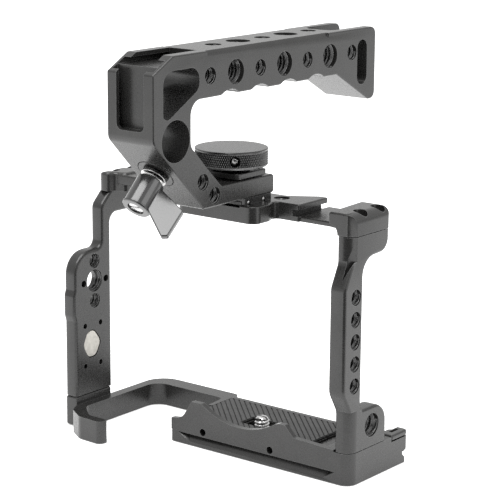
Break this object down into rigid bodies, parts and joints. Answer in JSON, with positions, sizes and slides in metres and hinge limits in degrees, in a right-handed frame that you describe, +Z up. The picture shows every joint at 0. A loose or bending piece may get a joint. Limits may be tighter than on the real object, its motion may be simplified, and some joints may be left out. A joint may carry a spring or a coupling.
{
  "type": "camera cage with top handle",
  "caption": "Cage frame that bolts round a small camera, with a dovetail base, a grip loop, threaded side plates and a clamped top handle with a rod clamp.",
  "frame": {"origin": "on the underside of the dovetail base plate, in the middle of its 38 mm depth and 46 mm in from its left end, beside the camera screw's slot", "axes": "+Z up, -Y towards the lens side, +X towards the plain right side plate, away from the grip loop"},
  "size_m": [0.133, 0.1344, 0.1633],
  "materials": {
    "black_anodised": "satin black anodised, machined",
    "knob_anodised": "black anodised, diamond knurled rim",
    "bright_steel": "turned, bright",
    "dark_steel": "black oxide",
    "pad_rubber": "ridged, matt"
  },
  "bodies": {
    "cage": {"base_plate": "black_anodised", "base_pad": "pad_rubber", "key_strip": "black_anodised", "rear_ledge": "black_anodised", "base_right_screw_1": "dark_steel", "base_right_screw_2": "dark_steel", "base_left_screw_1": "dark_steel", "base_left_screw_2": "dark_steel", "left_side_plate": "black_anodised", "badge": "bright_steel", "right_side_plate": "black_anodised", "top_plate": "black_anodised", "top_right_screw_1": "dark_steel", "top_right_screw_2": "dark_steel", "top_left_screw_1": "dark_steel", "top_left_screw_2": "dark_steel", "shoe_grub_screw_1": "bright_steel", "shoe_grub_screw_2": "bright_steel", "handle_body": "black_anodised", "pressure_block": "black_anodised"},
    "knob_carrier": {"knob_washer": "dark_steel"},
    "knob": {"clamp_knob": "knob_anodised", "knob_set_screw": "bright_steel"},
    "handle_foot": {"shoe_foot": "dark_steel"},
    "clamp_washer": {"clamp_disc": "black_anodised", "clamp_collar": "bright_steel"},
    "clamp_stud": {"clamp_screw": "bright_steel", "lever_screw": "bright_steel", "lever_spring": "bright_steel"},
    "lever": {"clamp_lever": "black_anodised"},
    "screw_carrier": {"camera_screw_washer": "dark_steel"},
    "camera_thumb_screw": {"camera_screw": "bright_steel"}
  },
  "joints": [
    {"name": "knob_lift", "type": "slide", "parent": "cage", "child": "knob_carrier", "axis": [0, 0, 1], "range_m": [0, 0.001]},
    {"name": "knob_turn", "type": "hinge", "parent": "knob_carrier", "child": "knob", "pos_m": [-0.008, -0.0293, 0.1178], "axis": [0, 0, 1], "range_deg": [0, 361]},
    {"name": "foot_drop", "type": "slide", "parent": "cage", "child": "handle_foot", "axis": [0, 0, -1], "range_m": [0, 0.00026]},
    {"name": "clamp_travel", "type": "slide", "parent": "cage", "child": "clamp_washer", "axis": [0, -0.7071, -0.7071], "range_m": [-0.0004, 0.0004]},
    {"name": "clamp_turn", "type": "hinge", "parent": "clamp_washer", "child": "clamp_stud", "pos_m": [-0.008, -0.07205, 0.12065], "axis": [0, -0.7071, -0.7071], "range_deg": [-181, 181]},
    {"name": "lever_pull", "type": "slide", "parent": "clamp_stud", "child": "lever", "axis": [0, -0.7071, -0.7071], "range_m": [0, 0.0016], "stiffness_N_per_m": 400, "springref_m": -0.004, "deforming": ["lever_spring"]},
    {"name": "screw_slide", "type": "slide", "parent": "cage", "child": "screw_carrier", "axis": [1, 0, 0], "range_m": [-0.0033, 0.0033]},
    {"name": "screw_turn", "type": "hinge", "parent": "screw_carrier", "child": "camera_thumb_screw", "pos_m": [-0.01375, -0.0017, 0.004], "axis": [0, 0, 1], "continuous": true}
  ],
  "couplings": [
    {"joint": "knob_turn", "follows": "knob_lift", "rad_per_m": 6283.2},
    {"joint": "foot_drop", "follows": "knob_lift", "ratio": 0.25},
    {"joint": "clamp_turn", "follows": "clamp_travel", "rad_per_m": 7854}
  ]
}
